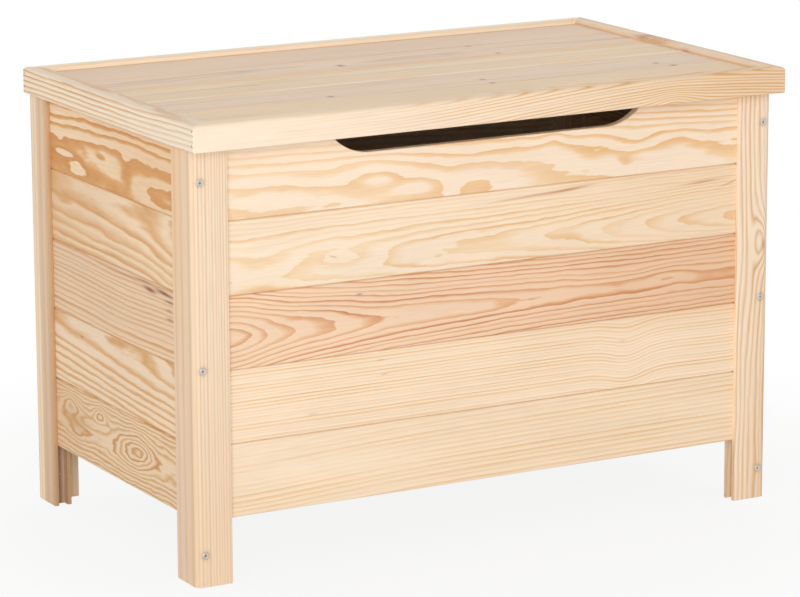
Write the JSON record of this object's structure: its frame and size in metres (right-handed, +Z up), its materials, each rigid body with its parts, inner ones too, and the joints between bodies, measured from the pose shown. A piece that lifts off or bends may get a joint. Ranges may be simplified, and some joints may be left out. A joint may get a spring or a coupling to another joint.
{
  "type": "storage trunk",
  "caption": "Raw pine storage trunk: tongue-and-groove walls in grooved corner posts that form the feet, a finger slot at the front and a hinged lid in a mitred frame.",
  "frame": {"origin": "on the floor, under the middle of the closed trunk's box", "axes": "+X along the front to the right, +Y from front to back, +Z up"},
  "size_m": [0.78, 0.4663, 0.531],
  "materials": {
    "pine_board": "raw planed softwood with flat-sawn grain",
    "pine_post": "raw planed softwood with straight grain",
    "pine_rail": "raw planed softwood with rounded edges",
    "pine_plank": "raw planed softwood, greyer on top",
    "pine_batten": "raw sawn softwood",
    "plywood": "raw sanded plywood",
    "zinc_steel": "bright zinc plating"
  },
  "bodies": {
    "chest": {"back_board_1": "pine_board", "back_board_2": "pine_board", "back_board_3": "pine_board", "back_board_4": "pine_board", "back_board_5": "pine_board", "base_batten_back": "pine_batten", "base_batten_front": "pine_batten", "base_batten_left": "pine_batten", "base_batten_right": "pine_batten", "base_batten_screws": "zinc_steel", "base_panel": "plywood", "front_board_1": "pine_board", "front_board_2": "pine_board", "front_board_3": "pine_board", "front_board_4": "pine_board", "front_board_5": "pine_board", "hinge_body_screws": "zinc_steel", "hinge_left_body_leaf": "zinc_steel", "hinge_left_pin": "zinc_steel", "hinge_right_body_leaf": "zinc_steel", "hinge_right_pin": "zinc_steel", "left_board_1": "pine_board", "left_board_2": "pine_board", "left_board_3": "pine_board", "left_board_4": "pine_board", "left_board_5": "pine_board", "post_back_left_face": "pine_post", "post_back_left_side": "pine_post", "post_back_right_face": "pine_post", "post_back_right_side": "pine_post", "post_front_left_face": "pine_post", "post_front_left_side": "pine_post", "post_front_right_face": "pine_post", "post_front_right_side": "pine_post", "post_screws": "zinc_steel", "right_board_1": "pine_board", "right_board_2": "pine_board", "right_board_3": "pine_board", "right_board_4": "pine_board", "right_board_5": "pine_board"},
    "lid": {"hinge_left_lid_leaf": "zinc_steel", "hinge_lid_screws": "zinc_steel", "hinge_right_lid_leaf": "zinc_steel", "lid_batten_left": "pine_batten", "lid_batten_right": "pine_batten", "lid_batten_screws": "zinc_steel", "lid_brads": "zinc_steel", "lid_plank_1": "pine_plank", "lid_plank_2": "pine_plank", "lid_plank_3": "pine_plank", "lid_plank_4": "pine_plank", "lid_plank_5": "pine_plank", "lid_rail_back": "pine_rail", "lid_rail_front": "pine_rail", "lid_rail_left": "pine_rail", "lid_rail_right": "pine_rail"}
  },
  "joints": [
    {"name": "lid_hinge", "type": "hinge", "parent": "chest", "child": "lid", "pos_m": [0, 0.23015, 0.5], "axis": [-1, 0, 0], "range_deg": [0, 105]}
  ]
}
